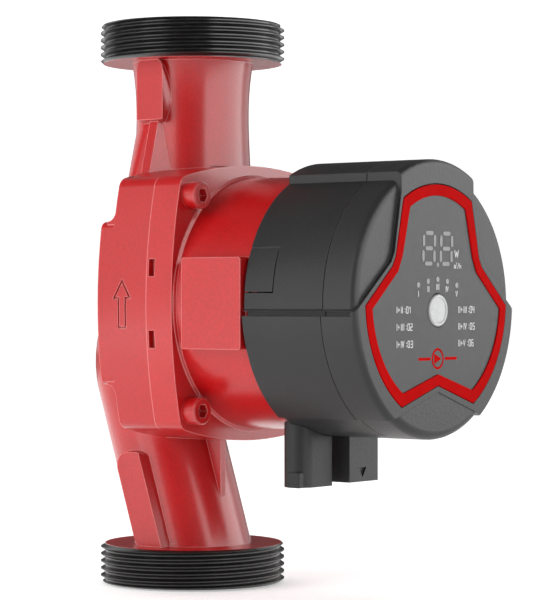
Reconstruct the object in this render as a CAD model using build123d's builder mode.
"""Inline wet-rotor circulator pump with a round electronic control head.

Frame: origin at the centre of the inlet port's sealing face, +Z along the flow axis towards the outlet port.
The motor axis is horizontal, crosses the flow axis at half the port-to-port length and points to the control
panel along -Y. In the comments t is the distance along -Y from the flow axis. Millimetres throughout.
"""
from build123d import *
import math
import os

os.makedirs("parts", exist_ok=True)

# ---------------------------------------------------------------- driving dimensions
L_PORT = 180.0            # port to port
ZM = L_PORT / 2           # height of the motor axis
R_CREST = 29.807          # G 2 male thread, major radius
R_ROOT = 28.328           # G 2 male thread, minor radius
PITCH = 2.309             # 11 threads per inch
H_COLLAR = 12.5           # threaded collar thickness
R_BORE = 15.0             # port bore
R_NECK = 18.2             # outlet neck, outside
R_PIPE = 18.3             # suction pipe, outside
R_PIPE_IN = 13.4          # suction pipe, inside
SLOPE = 0.325
LEAN = math.degrees(math.atan(SLOPE))   # suction pipe leans back by this much
R_COVE = 3.0          # hollow rounding behind the flange
R_BEND = 19.0             # centre-line radius of the suction bend

T_H0, T_H1 = 1.0, 15.7    # pump housing flange
T_REAR = -4.3             # back of the volute
T_F1 = 26.0               # front face of the motor flange
W_SIDE, W_TOP = 41.3, 43.6        # half width and half height of the flange
CX, CZ = 36.6, 38.7       # flange corner before rounding
BX, BZ = 32.2, 33.2       # flange screw positions

T_SH = 54.1               # visible end of the stator housing
R_SH0, R_SH1 = 39.9, 39.2 # stator housing, tapering
T_R0 = 54.5               # back of the control head
T_PART = 83.6             # parting line of the head
T_BASE = 95.2             # front of the head's base body
T_PLATE = 96.4            # front of the raised plate
R_HEAD = 41.2             # head base radius
R_CROWN = 43.5            # crown radius
R_SHOULDER = 42.5         # shoulder radius
X_CROWN = 19.2            # half width of the crown
Z_LEDGE = -3.0            # top of the shoulders
R_INNER = 38.6            # inside of the head


def mp(t):
    """Plane across the motor axis at distance t, normal towards the panel, local x = X and local y = Z."""
    return Plane(origin=(0, -t, ZM), x_dir=(1, 0, 0), z_dir=(0, -1, 0))


RP = Plane(origin=(0, 0, ZM), x_dir=(0, -1, 0), z_dir=(-1, 0, 0))   # local x = t, local y = radius
MA = Axis((0, 0, ZM), (0, -1, 0))

NODES = {}


def keep(builder, name):
    builder.part.label = name
    export_step(builder.part, f"parts/{name}.step")
    NODES[name] = builder.part


# bulged square outline shared by the pump housing and the motor flange
with BuildSketch() as flange_outline:
    with BuildLine():
        ThreePointArc((-CX, -CZ), (-W_SIDE, 0), (-CX, CZ))
        ThreePointArc((-CX, CZ), (0, W_TOP), (CX, CZ))
        ThreePointArc((CX, CZ), (W_SIDE, 0), (CX, -CZ))
        ThreePointArc((CX, -CZ), (0, -W_TOP), (-CX, -CZ))
    make_face()
    fillet(flange_outline.vertices(), 4.0)
# the deeper volute behind the flange is cut off straight above and below
with BuildSketch() as volute_outline:
    add(flange_outline.sketch)
    with Locations((0, 0)):
        Rectangle(120, 51.0, mode=Mode.INTERSECT)
    fillet(volute_outline.vertices().filter_by(lambda v: abs(v.Y) > 25.4 and abs(v.Y) < 25.6), 2.5)


def corner_points():
    return [(sx * BX, sz * BZ) for sx in (-1, 1) for sz in (-1, 1)]


# ---------------------------------------------------------------- pump housing
# one right-hand thread groove, cut out of a plain ring
with BuildLine() as thread_path:
    Helix(pitch=PITCH, height=H_COLLAR + 2 * PITCH, radius=R_ROOT, center=(0, 0, -PITCH))
with BuildPart() as thread_groove:
    depth = R_CREST - R_ROOT + 0.1
    with BuildSketch(Plane(origin=(R_ROOT, 0, -PITCH), x_dir=(1, 0, 0), z_dir=(0, 1, 0))):
        with BuildLine():
            Polyline((0, -0.2), (0, 0.2), (depth, PITCH / 2 - 0.09), (depth, 0.09 - PITCH / 2), close=True)
        make_face()
    sweep(path=thread_path.wire(), is_frenet=True)
with BuildPart() as collar:
    with BuildSketch(Plane.XY):
        Circle(R_CREST)
        Circle(R_BORE, mode=Mode.SUBTRACT)
    extrude(amount=H_COLLAR)
    add(thread_groove.part, mode=Mode.SUBTRACT)
    # lead-in chamfers, turned after the thread is cut
    with BuildSketch(Plane.XZ):
        with BuildLine():
            Polyline((R_CREST - 0.9, -0.01), (R_CREST + 1, -0.01), (R_CREST + 1, 1.9), close=True)
        make_face()
        with BuildLine():
            Polyline((R_CREST - 0.9, H_COLLAR + 0.01), (R_CREST + 1, H_COLLAR + 0.01), (R_CREST + 1, H_COLLAR - 1.9), close=True)
        make_face()
    revolve(axis=Axis.Z, mode=Mode.SUBTRACT)
assert collar.part.volume < 24800, "the thread groove was not cut"

lean_dir = Vector(0, math.sin(math.radians(LEAN)), math.cos(math.radians(LEAN)))
Z_KINK = 13.5
y_corner = SLOPE * (ZM - Z_KINK)
tangent = R_BEND * math.tan(math.radians((90 + LEAN) / 2))
bend_start = Vector(0, y_corner, ZM) - lean_dir * tangent
bend_centre = Vector(0, y_corner - tangent, ZM - R_BEND)
lean_plane = Plane(origin=(0, 0, Z_KINK), x_dir=(1, 0, 0), z_dir=lean_dir)
bend_end = bend_centre + Vector(0, 0, R_BEND)
half = math.radians((90 - LEAN) / 2)
bend_mid = bend_centre + Vector(0, math.cos(half) * R_BEND, math.sin(half) * R_BEND)
suction_foot = Plane(origin=Vector(0, 0, Z_KINK) - lean_dir * 7.0, x_dir=(1, 0, 0), z_dir=lean_dir)
with BuildLine() as suction_path_outside:
    Line(suction_foot.origin, bend_start)
    ThreePointArc(bend_start, bend_mid, bend_end)
    Line(bend_end, Vector(0, -2.4, ZM))
with BuildLine() as suction_path:
    Line(Vector(0, 0, Z_KINK), bend_start)
    ThreePointArc(bend_start, bend_mid, bend_end)
    Line(bend_end, Vector(0, -2.4, ZM))

# hollow-rounded transitions from the volute's cut ends to the back of the flange
with BuildPart() as volute_coves:
    for sz in (-1, 1):
        with BuildSketch(Plane(origin=(-45, 0, ZM), x_dir=(0, 1, 0), z_dir=(1, 0, 0))):
            with BuildLine():
                y0 = -T_H0
                c1 = Line((y0 - 0.5, sz * 24.5), (y0 - 0.5, sz * (25.5 + R_COVE)))
                c2 = Line(c1 @ 1, (y0, sz * (25.5 + R_COVE)))
                c3 = ThreePointArc(c2 @ 1, (y0 + R_COVE * 0.2929, sz * (25.5 + R_COVE * 0.2929)), (y0 + R_COVE, sz * 25.5))
                Polyline(c3 @ 1, (y0 + R_COVE, sz * 24.5), c1 @ 0)
            make_face()
        extrude(amount=90)
    # kept inside the flange's outline
    with BuildSketch(mp(T_H0 - R_COVE - 1)):
        add(flange_outline.sketch)
    extrude(amount=R_COVE + 2, mode=Mode.INTERSECT)

with BuildPart() as pump_housing:
    # threaded collars
    with Locations(Location((0, 0, 0)), Location((0, 0, L_PORT), (180, 0, 0))):
        add(collar.part)
    # flange block and the deeper volute behind it
    with BuildSketch(mp(T_H0)):
        add(flange_outline.sketch)
    extrude(amount=T_H1 - T_H0)
    with BuildSketch(mp(T_REAR)):
        add(volute_outline.sketch)
    extrude(amount=T_H0 - T_REAR + 1)
    add(volute_coves.part)
    # outlet neck with its flare into the collar
    with BuildSketch(Plane.XZ):
        with BuildLine():
            l1 = Line((0, 103), (R_NECK + 0.8, 103))
            l2 = Line(l1 @ 1, (R_NECK + 0.7, 132))
            l3 = Spline(l2 @ 1, (R_NECK + 0.05, 147), (R_NECK + 0.4, 160), (R_NECK + 1.4, L_PORT - H_COLLAR))
            Polyline(l3 @ 1, (0, L_PORT - H_COLLAR), l1 @ 0)
        make_face()
    revolve(axis=Axis.Z)
    # scroll throat that spreads the neck into the volute behind the flange
    with BuildSketch(Plane.XY.offset(128.5)):
        with Locations((0, 7)):
            RectangleRounded(40, 16, 7.9)
    with BuildSketch(Plane.XY.offset(150)):
        with Locations((0, 0.5)):
            RectangleRounded(34.4, 33, 16.4)
    loft()
    with BuildSketch(Plane.XY.offset(112)):
        with Locations((0, 7)):
            RectangleRounded(40, 16, 7.9)
    extrude(amount=16.5)
    # suction pipe: leaning run, bend, run into the volute
    with BuildSketch(Plane.XY.offset(H_COLLAR - 1)):
        Circle(R_PIPE + 0.9)
    extrude(amount=2.0, taper=20)
    with BuildSketch(suction_foot):
        Circle(R_PIPE)
    sweep(path=suction_path_outside.wire())
    # wrench pads on both necks, on both sides
    for sx in (-1, 1):
        with BuildSketch(Plane(origin=(sx * 15, 0, 0), x_dir=(0, 1, 0), z_dir=(1, 0, 0))) as s:
            with BuildLine():
                Polyline((-4.9, 168), (-6.3, 146.9), (6.3, 146.9), (4.9, 168), close=True)
            make_face()
            fillet(s.vertices().sort_by(Axis.Z)[:2], 4.0)
        with BuildSketch(Plane(origin=(sx * 21.4, 0, 0), x_dir=(0, 1, 0), z_dir=(1, 0, 0))) as s:
            with BuildLine():
                Polyline((-5.4, 168), (-5.4, 148.4), (5.4, 148.4), (5.4, 168), close=True)
            make_face()
            fillet(s.vertices().sort_by(Axis.Z)[:2], 3.4)
        loft()
        with BuildSketch(Plane(origin=(sx * 14, 0, 0), x_dir=(0, 1, 0), z_dir=(1, 0, 0))) as s:
            with BuildLine():
                Polyline((-6.4, 12), (6.6, 12), (16.7, 43.4), (3.7, 43.4), close=True)
            make_face()
            fillet(s.vertices().sort_by(Axis.Z)[-2:], 5.0)
        with BuildSketch(Plane(origin=(sx * 21.6, 0, 0), x_dir=(0, 1, 0), z_dir=(1, 0, 0))) as s:
            with BuildLine():
                Polyline((-5.2, 12), (5.4, 12), (15.3, 42.3), (4.7, 42.3), close=True)
            make_face()
            fillet(s.vertices().sort_by(Axis.Z)[-2:], 4.4)
        loft()
        # gusset from the pad down to the flange, its front face spreading into the neck
        with BuildSketch(Plane.XY.offset(126)):
            with BuildLine():
                Polyline((sx * 25.4, -2.2), (sx * 14, -10.6), (sx * 14, 1.3), (sx * 25.4, 1.3), close=True)
            make_face()
        with BuildSketch(Plane.XY.offset(149.5)):
            with BuildLine():
                Polyline((sx * 19.3, -2.2), (sx * 14, -2.9), (sx * 14, 1.3), (sx * 19.3, 1.3), close=True)
            make_face()
        loft(ruled=True)
    # front web between the suction pipe and the flange
    with BuildSketch(Plane(origin=(-3.2, 0, 0), x_dir=(0, 1, 0), z_dir=(1, 0, 0))):
        with BuildLine():
            Polyline((-14.4, 27.6), (-14.4, 49), (4, 49), (4, 30), close=True)
        make_face()
    extrude(amount=2.4)
    # rear web along the back of the suction bend
    with BuildSketch(Plane(origin=(-1.5, 0, 0), x_dir=(0, 1, 0), z_dir=(1, 0, 0))):
        with BuildLine():
            Polyline((10, 104), (13, 128), (18, 128), (27, 96), (20, 84), close=True)
        make_face()
    extrude(amount=3)
    # flat mating face: the neck is trimmed where the motor flange passes in front of it
    with BuildSketch(mp(T_H1)):
        with Locations((0, -6.27)):
            Rectangle(90, 99.86)
    extrude(amount=10, mode=Mode.SUBTRACT)
    # ---- hollows
    with BuildSketch(Plane.XY.offset(L_PORT + 1)):
        Circle(R_BORE)
    extrude(amount=-(L_PORT + 1 - 136), mode=Mode.SUBTRACT)
    with BuildSketch(Plane.XY.offset(136.5)):
        with Locations((0, -0.5)):
            Rectangle(24, 20.4)
    extrude(amount=-24, mode=Mode.SUBTRACT)
    with BuildSketch(Plane.XY.offset(-1)):
        Circle(R_BORE)
    extrude(amount=1 + Z_KINK + 2, mode=Mode.SUBTRACT)
    with BuildSketch(lean_plane):
        Circle(R_PIPE_IN)
    sweep(path=suction_path.wire(), mode=Mode.SUBTRACT)
    # seat of the neck ring, impeller chamber, volute throat, seal recess
    with BuildSketch(RP):
        with BuildLine():
            Polyline((0.6, 0), (0.6, 15.2), (3.6, 15.2), (3.6, 34.0), (12.0, 34.0), (12.0, 36.5),
                     (T_H1 + 1, 36.5), (T_H1 + 1, 0), close=True)
        make_face()
    revolve(axis=MA, mode=Mode.SUBTRACT)
    with BuildSketch(mp(T_H1)):
        with Locations(*corner_points()):
            Circle(2.42)
    extrude(amount=-12.2, mode=Mode.SUBTRACT)
    # flow arrow cast into the side face
    with BuildSketch(Plane(origin=(-43, 0, ZM), x_dir=(0, 1, 0), z_dir=(1, 0, 0))):
        with BuildLine():
            Polyline((-5.8, 7.6), (-9.6, 1.4), (-7.5, 1.4), (-7.5, -7.8), (-4.1, -7.8), (-4.1, 1.4), (-2.0, 1.4), close=True)
        make_face()
        with BuildLine():
            Polyline((-5.8, 6.3), (-8.4, 2.0), (-6.9, 2.0), (-6.9, -7.2), (-4.7, -7.2), (-4.7, 2.0), (-3.2, 2.0), close=True)
        make_face(mode=Mode.SUBTRACT)
    extrude(amount=2.6, mode=Mode.SUBTRACT)
keep(pump_housing, "pump_housing")

# stainless ring pressed into the suction eye
with BuildPart() as neck_ring:
    with BuildSketch(RP):
        with BuildLine():
            Polyline((0.6, 13.2), (0.6, 15.2), (3.6, 15.2), (3.6, 13.2), close=True)
        make_face()
    revolve(axis=MA)
keep(neck_ring, "neck_ring")

# ---------------------------------------------------------------- wet end: seals, bearing plate, can
with BuildPart() as housing_seal:
    with BuildSketch(RP):
        with BuildLine():
            Polyline((12.0, 34.2), (12.0, 36.4), (12.8, 36.4), (12.8, 34.2), close=True)
        make_face()
    revolve(axis=MA)
keep(housing_seal, "housing_seal")

with BuildPart() as bearing_plate:
    with BuildSketch(RP):
        with BuildLine():
            Polyline((12.8, 8.1), (12.8, 36.3), (13.8, 36.3), (13.8, 10.2), (19.2, 10.2), (19.2, 8.1), close=True)
        make_face()
    revolve(axis=MA)
    with BuildSketch(mp(12)):
        with PolarLocations(26, 4, start_angle=45):
            Circle(1.2)
    extrude(amount=2.5, mode=Mode.SUBTRACT)
keep(bearing_plate, "bearing_plate")

R_SHAFT, R_BUSH = 4.0, 4.04
with BuildPart() as front_bearing:
    with BuildSketch(RP):
        with BuildLine():
            Polyline((13.0, R_BUSH), (13.0, 8.1), (19.6, 8.1), (19.6, R_BUSH), close=True)
        make_face()
    revolve(axis=MA)
keep(front_bearing, "front_bearing")

with BuildPart() as rotor_can:
    with BuildSketch(RP):
        with BuildLine():
            Polyline((13.8, 21.0), (13.8, 36.3), (14.8, 36.3), (14.8, 21.7), (53.0, 21.7), (53.0, 8.9), (60.2, 8.9),
                     (60.2, 0), (59.5, 0), (59.5, 8.1), (52.3, 8.1), (52.3, 21.0), close=True)
        make_face()
    revolve(axis=MA)
keep(rotor_can, "rotor_can")

with BuildPart() as rear_bearing:
    with BuildSketch(RP):
        with BuildLine():
            Polyline((53.2, R_BUSH), (53.2, 8.1), (59.3, 8.1), (59.3, R_BUSH), close=True)
        make_face()
    revolve(axis=MA)
keep(rear_bearing, "rear_bearing")

with BuildPart() as can_seal:
    with BuildSketch(RP):
        with BuildLine():
            Polyline((14.8, 33.2), (14.8, 36.2), (T_H1, 36.2), (T_H1, 33.2), close=True)
        make_face()
    revolve(axis=MA)
keep(can_seal, "can_seal")

# ---------------------------------------------------------------- rotor
with BuildPart() as shaft:
    with BuildSketch(RP):
        with BuildLine():
            Polyline((5.2, 0), (5.2, 3.6), (5.6, R_SHAFT), (58.4, R_SHAFT), (58.8, 3.6), (58.8, 0), close=True)
        make_face()
    revolve(axis=MA)
keep(shaft, "shaft")

with BuildPart() as rotor_magnet:
    with BuildSketch(RP):
        with BuildLine():
            Polyline((25, R_SHAFT), (25, 19.4), (50, 19.4), (50, R_SHAFT), close=True)
        make_face()
    revolve(axis=MA)
keep(rotor_magnet, "rotor_magnet")

with BuildPart() as rotor_sleeve:
    with BuildSketch(RP):
        with BuildLine():
            Polyline((24.5, R_SHAFT), (24.5, 20.0), (50.5, 20.0), (50.5, R_SHAFT), (50, R_SHAFT), (50, 19.4),
                     (25, 19.4), (25, R_SHAFT), close=True)
        make_face()
    revolve(axis=MA)
keep(rotor_sleeve, "rotor_sleeve")

with BuildPart() as thrust_ring:
    with BuildSketch(RP):
        with BuildLine():
            Polyline((20.0, R_SHAFT), (20.0, 8.6), (22.4, 8.6), (22.4, R_SHAFT), close=True)
        make_face()
    revolve(axis=MA)
keep(thrust_ring, "thrust_ring")

with BuildPart() as thrust_cushion:
    with BuildSketch(RP):
        with BuildLine():
            Polyline((22.4, R_SHAFT), (22.4, 8.2), (24.5, 8.2), (24.5, R_SHAFT), close=True)
        make_face()
    revolve(axis=MA)
keep(thrust_cushion, "thrust_cushion")

def pol(r, a):
    return (r * math.cos(a), r * math.sin(a))


with BuildSketch() as vane_outline:
    for k in range(7):
        a = 2 * math.pi * k / 7
        with BuildLine():
            v1 = Spline(pol(9.0, a - 0.2), pol(12.6, a), pol(18, a + 0.42), pol(24, a + 0.82), pol(30.4, a + 1.16))
            v2 = Spline(pol(30.4, a + 1.11), pol(24, a + 0.765), pol(18, a + 0.345), pol(12.6, a - 0.09), pol(9.0, a - 0.32))
            Line(v1 @ 1, v2 @ 0)
            Line(v2 @ 1, v1 @ 0)
        make_face()

# vane disc: hub, back shroud and seven swept vanes
with BuildPart() as impeller:
    with BuildSketch(RP):
        with BuildLine():
            Polyline((5.6, R_SHAFT), (5.6, 6.2), (10.0, 8.0), (10.6, 31.0), (11.8, 31.0), (11.8, 9.0), (12.4, 7.0),
                     (12.4, R_SHAFT), close=True)
        make_face()
    revolve(axis=MA)
    with BuildSketch(mp(10.8)):
        add(vane_outline.sketch)
    extrude(amount=-5.7)
    # the vanes stop on the cover's inside, a cone
    with BuildSketch(RP):
        with BuildLine():
            Polyline((0, 12.0), (5.21, 12.0), (7.42, 31.5), (0, 31.5), close=True)
        make_face()
    revolve(axis=MA, mode=Mode.SUBTRACT)
keep(impeller, "impeller")

with BuildPart() as impeller_cover:
    with BuildSketch(RP):
        with BuildLine():
            Polyline((1.4, 11.8), (1.4, 13.12), (4.0, 13.12), (6.2, 31.0), (7.35, 31.0), (5.2, 12.0), (5.18, 11.8), close=True)
        make_face()
    revolve(axis=MA)
keep(impeller_cover, "impeller_cover")

# ---------------------------------------------------------------- motor: stator housing, core, windings
with BuildPart() as stator_housing:
    with BuildSketch(mp(T_H1)):
        add(flange_outline.sketch)
    extrude(amount=T_F1 - T_H1)
    with BuildSketch(RP):
        with BuildLine():
            Polyline((T_F1 - 4, 0), (T_F1 - 4, 40.7), (T_F1 + 0.2, 40.7), (T_F1 + 0.7, R_SH0), (T_SH - 0.6, R_SH1),
                     (T_SH, R_SH1 - 0.6), (T_SH, 38.2), (57.0, 38.2), (57.0, 0), close=True)
        make_face()
    revolve(axis=MA)
    # flat side blocks
    for sx in (-1, 1):
        with BuildSketch(Plane(origin=(sx * 30, 0, ZM), x_dir=(0, -1, 0), z_dir=(sx, 0, 0))) as s:
            with Locations((41.7, 0)):
                RectangleRounded(23.0, 27.8, 0.8)
        extrude(amount=11.6)
    with BuildSketch(RP):
        with BuildLine():
            Polyline((19.7, 0), (19.7, 36.6), (58.0, 36.6), (58.0, 0), close=True)
        make_face()
    revolve(axis=MA, mode=Mode.SUBTRACT)
    with BuildSketch(mp(T_H1 - 1)):
        Circle(22.2)
    extrude(amount=6, mode=Mode.SUBTRACT)
    # screw holes and drain slots
    with BuildSketch(mp(T_H1 - 1)):
        with Locations(*corner_points()):
            Circle(2.75)
    extrude(amount=T_F1 - T_H1 + 2, mode=Mode.SUBTRACT)
    for sx in (-1, 1):
        with BuildSketch(Plane(origin=(sx * 38.6, 0, ZM), x_dir=(0, -1, 0), z_dir=(sx, 0, 0))):
            with Locations((17.7, 11.0), (17.7, -11.1)):
                Rectangle(2.4, 5.4)
        extrude(amount=5, mode=Mode.SUBTRACT)
    # bosses for the head screws
    with BuildSketch(mp(50.2)):
        with PolarLocations(34.4, 3, start_angle=30):
            Circle(3.0)
    extrude(amount=6.8)
    with BuildSketch(mp(51.5)):
        with PolarLocations(34.4, 3, start_angle=30):
            Circle(1.5)
    extrude(amount=6, mode=Mode.SUBTRACT)
keep(stator_housing, "stator_housing")

with BuildPart() as flange_screws:
    with BuildSketch(mp(T_F1)):
        with Locations(*corner_points()):
            Circle(4.25)
    extrude(amount=5.0)
    chamfer(flange_screws.faces().filter_by(Axis.Y).sort_by(Axis.Y)[:4].edges(), 0.4)
    with BuildSketch(mp(T_F1 + 5)):
        with Locations(*corner_points()):
            RegularPolygon(2.0, 6, major_radius=False)
    extrude(amount=-2.9, mode=Mode.SUBTRACT)
    with BuildSketch(mp(T_F1)):
        with Locations(*corner_points()):
            Circle(2.38)
    extrude(amount=-21.5)
keep(flange_screws, "flange_screws")

with BuildPart() as stator_core:
    with BuildSketch(mp(25)):
        Circle(36.5)
        Circle(32.0, mode=Mode.SUBTRACT)
        with PolarLocations(27.4, 6):
            Rectangle(9.6, 8.0)
        for k in range(6):
            with BuildLine():
                a0, a1 = math.radians(60 * k - 21), math.radians(60 * k + 21)
                am = math.radians(60 * k)
                c1 = ThreePointArc(pol(22.0, a0), pol(22.0, am), pol(22.0, a1))
                c2 = ThreePointArc(pol(23.4, a1), pol(23.4, am), pol(23.4, a0))
                Line(c1 @ 1, c2 @ 0)
                Line(c2 @ 1, c1 @ 0)
            make_face()
    extrude(amount=25)
keep(stator_core, "stator_core")

with BuildPart() as coil_bobbins:
    for k in range(6):
        a = math.radians(60 * k)
        pl = Plane(origin=(24.0 * math.cos(a), -37.5, ZM + 24.0 * math.sin(a)), x_dir=(0, -1, 0),
                   z_dir=(math.cos(a), 0, math.sin(a)))
        with BuildSketch(pl):
            Rectangle(26.6, 9.7)
            Rectangle(25.1, 8.1, mode=Mode.SUBTRACT)
        extrude(amount=7.4)
keep(coil_bobbins, "coil_bobbins")

with BuildPart() as stator_coils:
    for k in range(6):
        a = math.radians(60 * k)
        pl = Plane(origin=(24.4 * math.cos(a), -37.5, ZM + 24.4 * math.sin(a)), x_dir=(0, -1, 0),
                   z_dir=(math.cos(a), 0, math.sin(a)))
        with BuildSketch(pl):
            RectangleRounded(33.2, 17.6, 4.0)
            Rectangle(26.8, 9.9, mode=Mode.SUBTRACT)
        extrude(amount=6.2)
keep(stator_coils, "stator_coils")


# ---------------------------------------------------------------- control head outline
def plate_polygon(q):
    """Corner points of the raised plate before it is trimmed to the head's radii; q moves the flanks inwards."""
    z_l = Z_LEDGE + 0.6 - q * 0.3
    right = [(X_CROWN - q, 60), (X_CROWN - q, 33), (22.7 - q, 15.2), (24.4 - q, 12.2), (42.0 - q, z_l), (60, z_l),
             (60, -46.8 + q), (24.0, -34.6 + q)]
    return right + [(0, -26.8 + q)] + [(-x, z) for x, z in reversed(right)]


def plate_outline(r_top, r_low, q=0.0):
    """Raised plate: crown, waist, diagonal flanks, shoulders and the V at the bottom."""
    with BuildSketch() as crown:
        with BuildLine():
            Polyline(*plate_polygon(q), close=True)
        make_face()
        Circle(r_top, mode=Mode.INTERSECT)
        with Locations((0, 40)):
            Rectangle(2 * X_CROWN + 2, 60, mode=Mode.INTERSECT)
    with BuildSketch() as whole:
        with BuildLine():
            Polyline(*plate_polygon(q), close=True)
        make_face()
        Circle(r_low, mode=Mode.INTERSECT)
        add(crown.sketch)
    return whole.sketch


def shield_outline(q=0.0):
    """Panel outline: arched top, waist, shoulders on an arc and a V at the bottom; q insets it."""
    k = [(18.0 - q * 0.95, 31.1 - q * 0.75), (22.0 - q * 0.98, 13.9 + q * 0.05), (23.6 - q * 0.80, 11.0 - q * 0.45),
         (37.2 - q * 0.98, -0.7 - q * 0.28), (19.0 - q * 0.16, -30.6 + q * 1.18), (0.0, -24.7 + q)]
    m = [(-x, z) for x, z in k]
    top, side, am = 35.8 - q, 36.7 - q, math.radians(-27)
    with BuildSketch() as outline:
        with BuildLine():
            ThreePointArc(m[0], (0, top), k[0])
            Polyline(k[0], k[1], k[2], k[3])
            ThreePointArc(k[3], (side * math.cos(am), side * math.sin(am)), k[4])
            Polyline(k[4], k[5], m[4])
            ThreePointArc(m[4], (-side * math.cos(am), side * math.sin(am)), m[3])
            Polyline(m[3], m[2], m[1], m[0])
        make_face()
        fillet(outline.vertices().filter_by(lambda v: 8.5 < v.Y < 14.5 or abs(v.X) < 0.1), 1.6)
    return outline.sketch


PLATE = plate_outline(R_CROWN, R_SHOULDER)
with BuildSketch() as head_outline:
    add(PLATE)
    Circle(R_HEAD)
SHIELD_POCKET, SHIELD, SHIELD_IN, SHIELD_LABEL = (shield_outline(q) for q in (-0.3, 0.0, 3.3, 3.36))

# ---------------------------------------------------------------- rear shell of the head
SOCK_X0, SOCK_X1 = -18.6, -3.9     # mains socket
SOCK_T0, SOCK_T1 = 49.6, 59.4
Z_SOCK = -56.4
SIG_X0, SIG_X1 = 0.6, 15.6         # signal socket
SIG_T0, SIG_T1 = 54.9, 62.8
Z_SIG = -55.6

with BuildPart() as head_rear_shell:
    with BuildSketch(mp(T_R0)):
        add(head_outline.sketch)
    extrude(amount=T_PART - T_R0)
    with BuildSketch(RP):
        with BuildLine():
            Polyline((T_R0 - 1, 0), (T_R0 - 1, 38.5), (57.0, 38.5), (57.0, 36.4), (59.0, 36.4), (59.0, R_INNER),
                     (T_PART + 1, R_INNER), (T_PART + 1, 0), close=True)
        make_face()
    revolve(axis=MA, mode=Mode.SUBTRACT)
    # floor that carries the electronics and is screwed to the stator housing
    with BuildSketch(mp(57.0)):
        Circle(37.0)
        Circle(11.0, mode=Mode.SUBTRACT)
        with PolarLocations(34.4, 3, start_angle=30):
            Circle(1.8, mode=Mode.SUBTRACT)
        with Locations((0, 20)):
            Rectangle(14, 5, mode=Mode.SUBTRACT)
    extrude(amount=2.0)
    # stand-offs for the power board
    with BuildSketch(mp(59.0)):
        with PolarLocations(31.5, 3, start_angle=90):
            Circle(3.0)
    extrude(amount=7.0)
    with BuildSketch(mp(60.0)):
        with PolarLocations(31.5, 3, start_angle=90):
            Circle(1.25)
    extrude(amount=7.0, mode=Mode.SUBTRACT)
    # shadow groove along the top of the shoulders
    for sx in (-1, 1):
        with BuildSketch(mp(T_R0 - 1)):
            with Locations((sx * 42.0, -3.05)):
                Rectangle(4.8, 1.5)
        extrude(amount=T_PART - T_R0 + 2, mode=Mode.SUBTRACT)
    # snap window outlines on both flanks
    for sx in (-1, 1):
        with BuildSketch(Plane(origin=(sx * 37.4, 0, ZM), x_dir=(0, -1, 0), z_dir=(sx, 0, 0))):
            with Locations((T_R0 + 3.2, 9.9)):
                Rectangle(8.8 + 6.4, 13.6)
                Rectangle(8.0 + 6.4, 12.8, mode=Mode.SUBTRACT)
        extrude(amount=6, mode=Mode.SUBTRACT)
    # slots in the wall for the socket tongues
    with BuildSketch(Plane.XY.offset(ZM - 46)):
        with Locations((-11.2, -58.3)):
            Rectangle(7.2, 2.0)
        with Locations((8.1, -60.6)):
            Rectangle(7.2, 3.2)
    extrude(amount=12, mode=Mode.SUBTRACT)
keep(head_rear_shell, "head_rear_shell")

with BuildPart() as head_seal:
    with BuildSketch(RP):
        with BuildLine():
            Polyline((54.1, 38.2), (54.1, 39.0), (T_R0, 39.0), (T_R0, 38.2), close=True)
        make_face()
    revolve(axis=MA)
keep(head_seal, "head_seal")

with BuildPart() as head_screws:
    with BuildSketch(mp(59.0)):
        with PolarLocations(34.4, 3, start_angle=30):
            Circle(3.0)
    extrude(amount=2.0)
    with BuildSketch(mp(61.0)):
        with PolarLocations(34.4, 3, start_angle=30):
            Rectangle(3.6, 0.7)
            Rectangle(0.7, 3.6)
    extrude(amount=-1.1, mode=Mode.SUBTRACT)
    with BuildSketch(mp(59.0)):
        with PolarLocations(34.4, 3, start_angle=30):
            Circle(1.47)
    extrude(amount=-7.2)
keep(head_screws, "head_screws")

# ---------------------------------------------------------------- sockets under the head
with BuildPart() as mains_socket:
    with BuildSketch(Plane.XY.offset(ZM + Z_SOCK)):
        with BuildLine():
            r = (SOCK_T1 - SOCK_T0) / 2
            tc = (SOCK_T1 + SOCK_T0) / 2
            arc = ThreePointArc((SOCK_X0 + r, -SOCK_T1), (SOCK_X0, -tc), (SOCK_X0 + r, -SOCK_T0))
            Polyline(arc @ 1, (SOCK_X1, -SOCK_T0), (SOCK_X1, -SOCK_T1), arc @ 0)
        make_face()
    extrude(amount=26)
    # latch lug for the plug
    with BuildSketch(Plane.XY.offset(ZM + Z_SOCK)):
        with Locations((SOCK_X0 + 2.6, -(tc + 1.4))):
            RectangleRounded(6.4, 4.6, 0.5)
    extrude(amount=4.6)
    # hugs the stator housing and the head
    with BuildSketch(RP):
        with BuildLine():
            Polyline((40, 0), (40, 40.4), (T_R0 - 0.1, 40.4), (T_R0 - 0.1, R_HEAD + 0.05), (90, R_HEAD + 0.05), (90, 0), close=True)
        make_face()
    revolve(axis=MA, mode=Mode.SUBTRACT)
    with BuildSketch(Plane.XY.offset(ZM - 43)):
        with Locations((-11.2, -58.3)):
            Rectangle(7.0, 1.8)
    extrude(amount=6.4)
    with BuildSketch(Plane.XY.offset(ZM + Z_SOCK)):
        with Locations((-11.1, -54.5)):
            RectangleRounded(11.4, 6.6, 1.0)
    extrude(amount=12.6, mode=Mode.SUBTRACT)
keep(mains_socket, "mains_socket")

with BuildPart() as mains_pins:
    with BuildSketch(Plane.XY.offset(ZM - 50.4)):
        with Locations((-14.6, -54.5), (-11.1, -54.5), (-7.6, -54.5)):
            Rectangle(0.9, 2.4)
    extrude(amount=6.6)
keep(mains_pins, "mains_pins")

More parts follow.
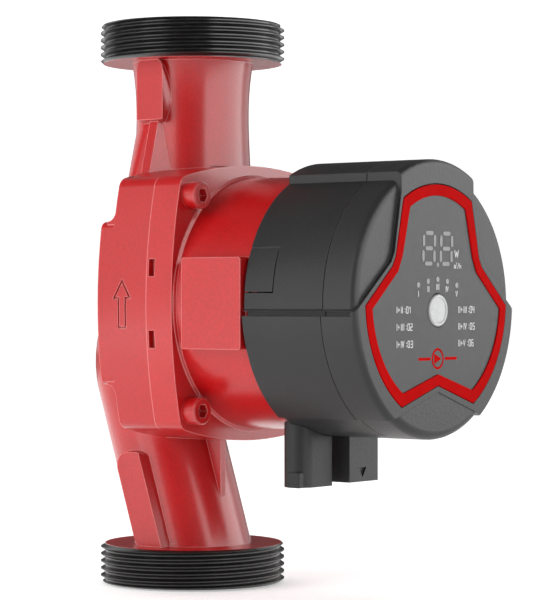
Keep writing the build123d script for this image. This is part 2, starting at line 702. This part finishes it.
with BuildPart() as signal_socket:
    with BuildSketch(Plane.XY.offset(ZM + Z_SIG)):
        with Locations(((SIG_X0 + SIG_X1) / 2, -(SIG_T0 + SIG_T1) / 2)):
            Rectangle(SIG_X1 - SIG_X0, SIG_T1 - SIG_T0)
    extrude(amount=26)
    with BuildSketch(RP):
        with BuildLine():
            Polyline((40, 0), (40, R_HEAD + 0.05), (90, R_HEAD + 0.05), (90, 0), close=True)
        make_face()
    revolve(axis=MA, mode=Mode.SUBTRACT)
    with BuildSketch(Plane.XY.offset(ZM - 43)):
        with Locations((8.1, -60.6)):
            Rectangle(7.0, 3.0)
    extrude(amount=5.2)
    with BuildSketch(Plane.XY.offset(ZM + Z_SIG)):
        with Locations((8.1, -58.7)):
            Rectangle(11.6, 5.0)
    extrude(amount=11.0, mode=Mode.SUBTRACT)
    # keying mark cut into the front
    with BuildSketch(mp(SIG_T1)):
        with BuildLine():
            Polyline((5.6, -51.2), (9.4, -51.2), (7.5, -54.3), close=True)
        make_face()
    extrude(amount=-0.8, mode=Mode.SUBTRACT)
keep(signal_socket, "signal_socket")

with BuildPart() as signal_pins:
    with BuildSketch(Plane.XY.offset(ZM - 50.6)):
        with Locations((4.6, -58.7), (8.1, -58.7), (11.6, -58.7)):
            Rectangle(0.64, 0.64)
    extrude(amount=6.0)
keep(signal_pins, "signal_pins")

# ---------------------------------------------------------------- front cap of the head
T_POCKET = 94.6
T_WALL = 92.6
with BuildPart() as cap_base:
    with BuildSketch(mp(T_PART + 0.3)):
        Circle(R_HEAD)
    extrude(amount=T_BASE - T_PART - 0.3)
    fillet(cap_base.faces().sort_by(Axis.Y)[0].edges(), 2.4)

with BuildPart() as cap_chin:
    with BuildSketch(mp(T_PART + 0.3)):
        Circle(R_HEAD)
        with Locations((0, -60)):
            Rectangle(120, 80, mode=Mode.INTERSECT)
    extrude(amount=T_PLATE - 0.3 - T_PART - 0.3)
    fillet(cap_chin.faces().sort_by(Axis.Y)[0].edges().filter_by(GeomType.CIRCLE), 2.6)

with BuildPart() as head_front_cap:
    with BuildSketch(mp(T_PART + 0.3)):
        add(PLATE)
    extrude(amount=T_PLATE - T_PART - 0.3)
    front_edges = head_front_cap.faces().sort_by(Axis.Y)[0].edges()
    fillet(front_edges.filter_by(GeomType.CIRCLE), 2.0)
    add(cap_base.part)
    add(cap_chin.part)
    # hollow inside
    with BuildSketch(RP):
        with BuildLine():
            Polyline((T_PART, 0), (T_PART, R_INNER), (T_WALL - 3, R_INNER), (T_WALL, R_INNER - 3), (T_WALL, 0), close=True)
        make_face()
    revolve(axis=MA, mode=Mode.SUBTRACT)
    # pocket for the trim and the panel
    with BuildSketch(mp(T_POCKET)):
        add(SHIELD_POCKET)
    extrude(amount=3, mode=Mode.SUBTRACT)
    # openings behind the panel: display, status lights, button
    with BuildSketch(mp(T_WALL - 1)):
        with Locations((0, 16.4)):
            Rectangle(20.6, 13.6)
        with Locations((-10.2, 5.5), (-5.1, 6.6), (0, 7.2), (5.1, 6.6), (10.2, 5.5)):
            Circle(1.0)
        with Locations((0, -2.1)):
            Circle(5.2)
    extrude(amount=4, mode=Mode.SUBTRACT)
    # shadow groove along the top of the shoulders
    for sx in (-1, 1):
        with BuildSketch(mp(T_PART)):
            with Locations((sx * 42.0, -3.05)):
                Rectangle(4.8, 1.5)
        extrude(amount=T_BASE - 0.6 - T_PART, mode=Mode.SUBTRACT)
    # posts for the display board
    with BuildSketch(mp(86.4)):
        with Locations((-26, 4), (26, 4), (-16, -22), (16, -22)):
            Circle(2.6)
    extrude(amount=T_WALL - 86.4 + 0.5)
    with BuildSketch(mp(86.4)):
        with Locations((-26, 4), (26, 4), (-16, -22), (16, -22)):
            Circle(1.05)
    extrude(amount=5, mode=Mode.SUBTRACT)
keep(head_front_cap, "head_front_cap")

with BuildPart() as red_trim:
    with BuildSketch(mp(T_POCKET)):
        add(SHIELD)
        add(SHIELD_IN, mode=Mode.SUBTRACT)
    extrude(amount=T_PLATE + 0.1 - T_POCKET)
keep(red_trim, "red_trim")

# seven bars per digit, leaning slightly to the right
BARS = [(0, 21.1), (0, 16.5), (0, 11.9)]
POSTS = [(-2.9, 18.8), (2.9, 18.8), (-2.9, 14.2), (2.9, 14.2)]
with BuildSketch() as segment_outline:
    with Locations(*[(cx + x + (z - 16.5) * 0.06, z) for cx in (-4.6, 4.6) for x, z in BARS]):
        SlotOverall(3.9, 1.25)
    with Locations(*[(cx + x + (z - 16.5) * 0.06, z) for cx in (-4.6, 4.6) for x, z in POSTS]):
        SlotOverall(3.5, 1.25, rotation=90)
    with Locations((0, 11.6)):
        Circle(0.65)

LEDS = [(-10.2, 5.5), (-5.1, 6.6), (0, 7.2), (5.1, 6.6), (10.2, 5.5)]
T_PANEL = 96.15
with BuildPart() as display_segments:
    with BuildSketch(mp(T_PANEL - 0.4)):
        add(segment_outline.sketch)
    extrude(amount=0.48)
keep(display_segments, "display_segments")

with BuildPart() as panel_overlay:
    with BuildSketch(mp(T_POCKET)):
        add(SHIELD_LABEL)
        with Locations((0, -2.1)):
            Circle(5.2, mode=Mode.SUBTRACT)
        with Locations(*LEDS):
            Circle(0.9, mode=Mode.SUBTRACT)
    extrude(amount=T_PANEL - T_POCKET)
    with BuildSketch(mp(T_PANEL - 0.4)):
        add(segment_outline.sketch)
    extrude(amount=1, mode=Mode.SUBTRACT)
keep(panel_overlay, "panel_overlay")

with BuildPart() as light_guides:
    with BuildSketch(mp(87.6)):
        with Locations(*LEDS):
            Circle(0.88)
    extrude(amount=T_PANEL + 0.08 - 87.6)
keep(light_guides, "light_guides")

# ---------------------------------------------------------------- button, switch, display electronics
Z_BTN = ZM - 2.1
BP = Plane(origin=(0, 0, Z_BTN), x_dir=(0, -1, 0), z_dir=(-1, 0, 0))
with BuildPart() as mode_button:
    with BuildSketch(BP):
        with BuildLine():
            Polyline((91.0, 0), (91.0, 6.0), (92.0, 6.0), (92.0, 4.9), (96.4, 4.9), (96.7, 4.55), (96.7, 3.9), (96.5, 3.7),
                     (96.55, 1.8), (96.6, 0), close=True)
        make_face()
    revolve(axis=Axis((0, 0, Z_BTN), (0, -1, 0)))
keep(mode_button, "mode_button")

with BuildPart() as switch_plunger:
    with BuildSketch(mp(89.3)):
        with Locations((0, -2.1)):
            Circle(1.6)
    extrude(amount=1.7)
keep(switch_plunger, "switch_plunger")

with BuildPart() as mode_switch:
    with BuildSketch(mp(86.2)):
        with Locations((0, -2.1)):
            Rectangle(6.0, 6.0)
    extrude(amount=3.5)
    with BuildSketch(mp(88.4)):
        with Locations((0, -2.1)):
            Circle(1.95)
    extrude(amount=2, mode=Mode.SUBTRACT)
keep(mode_switch, "mode_switch")

with BuildPart() as display_board:
    with BuildSketch(mp(84.6)):
        Circle(33.0)
        with Locations((0, -28)):
            Rectangle(24, 12, mode=Mode.SUBTRACT)
        with Locations((-26, 4), (26, 4), (-16, -22), (16, -22)):
            Circle(1.3, mode=Mode.SUBTRACT)
    extrude(amount=1.6)
keep(display_board, "display_board")

with BuildPart() as display_board_screws:
    with BuildSketch(mp(84.6)):
        with Locations((-26, 4), (26, 4), (-16, -22), (16, -22)):
            Circle(2.1)
    extrude(amount=-1.4)
    with BuildSketch(mp(84.6)):
        with Locations((-26, 4), (26, 4), (-16, -22), (16, -22)):
            Circle(1.03)
    extrude(amount=5.6)
keep(display_board_screws, "display_board_screws")

with BuildPart() as display_module:
    with BuildSketch(mp(86.2)):
        with Locations((0, 16.4)):
            Rectangle(20.0, 13.0)
    extrude(amount=8.2)
keep(display_module, "display_module")

with BuildPart() as status_leds:
    with BuildSketch(mp(86.2)):
        with Locations(*LEDS):
            Rectangle(1.6, 1.6)
    extrude(amount=1.3)
keep(status_leds, "status_leds")

# ---------------------------------------------------------------- power board
with BuildPart() as power_board:
    with BuildSketch(mp(66.0)):
        Circle(36.0)
        with PolarLocations(31.5, 3, start_angle=90):
            Circle(1.5, mode=Mode.SUBTRACT)
    extrude(amount=1.6)
keep(power_board, "power_board")

with BuildPart() as power_board_screws:
    with BuildSketch(mp(67.6)):
        with PolarLocations(31.5, 3, start_angle=90):
            Circle(2.6)
    extrude(amount=1.6)
    with BuildSketch(mp(67.6)):
        with PolarLocations(31.5, 3, start_angle=90):
            Circle(1.22)
    extrude(amount=-7.2)
keep(power_board_screws, "power_board_screws")

with BuildPart() as capacitor:
    with BuildSketch(mp(67.6)):
        with Locations((17.0, -10.0)):
            Circle(8.0)
    extrude(amount=14.6)
    fillet(capacitor.faces().sort_by(Axis.Y)[0].edges(), 1.0)
keep(capacitor, "capacitor")

with BuildPart() as filter_choke:
    with BuildSketch(mp(67.6)):
        with Locations((-15.0, -14.0)):
            Circle(8.5)
            Circle(3.6, mode=Mode.SUBTRACT)
    extrude(amount=9.0)
    fillet(filter_choke.edges().filter_by(GeomType.CIRCLE), 1.6)
keep(filter_choke, "filter_choke")

with BuildPart() as power_module:
    with BuildSketch(mp(67.6)):
        with Locations((-6.0, 17.0)):
            Rectangle(30.0, 17.0)
    extrude(amount=4.2)
keep(power_module, "power_module")

with BuildPart() as heat_sink:
    with BuildSketch(mp(71.8)):
        with Locations((-6.0, 17.0)):
            Rectangle(28.0, 16.0)
    extrude(amount=1.8)
    with BuildSketch(mp(73.6)):
        with Locations(*[(-6.0 - 12.6 + 4.2 * k, 17.0) for k in range(7)]):
            Rectangle(1.4, 16.0)
    extrude(amount=6.6)
keep(heat_sink, "heat_sink")

with BuildPart() as board_header:
    with BuildSketch(mp(67.6)):
        with Locations((24.5, 14.0)):
            Rectangle(5.0, 12.0)
    extrude(amount=17.0)
keep(board_header, "board_header")

with BuildPart() as phase_pins:
    with BuildSketch(mp(54.6)):
        with Locations((-4.0, 20.0), (0, 20.0), (4.0, 20.0)):
            Rectangle(0.9, 0.9)
    extrude(amount=11.4)
keep(phase_pins, "phase_pins")

print(len(NODES), "nodes")
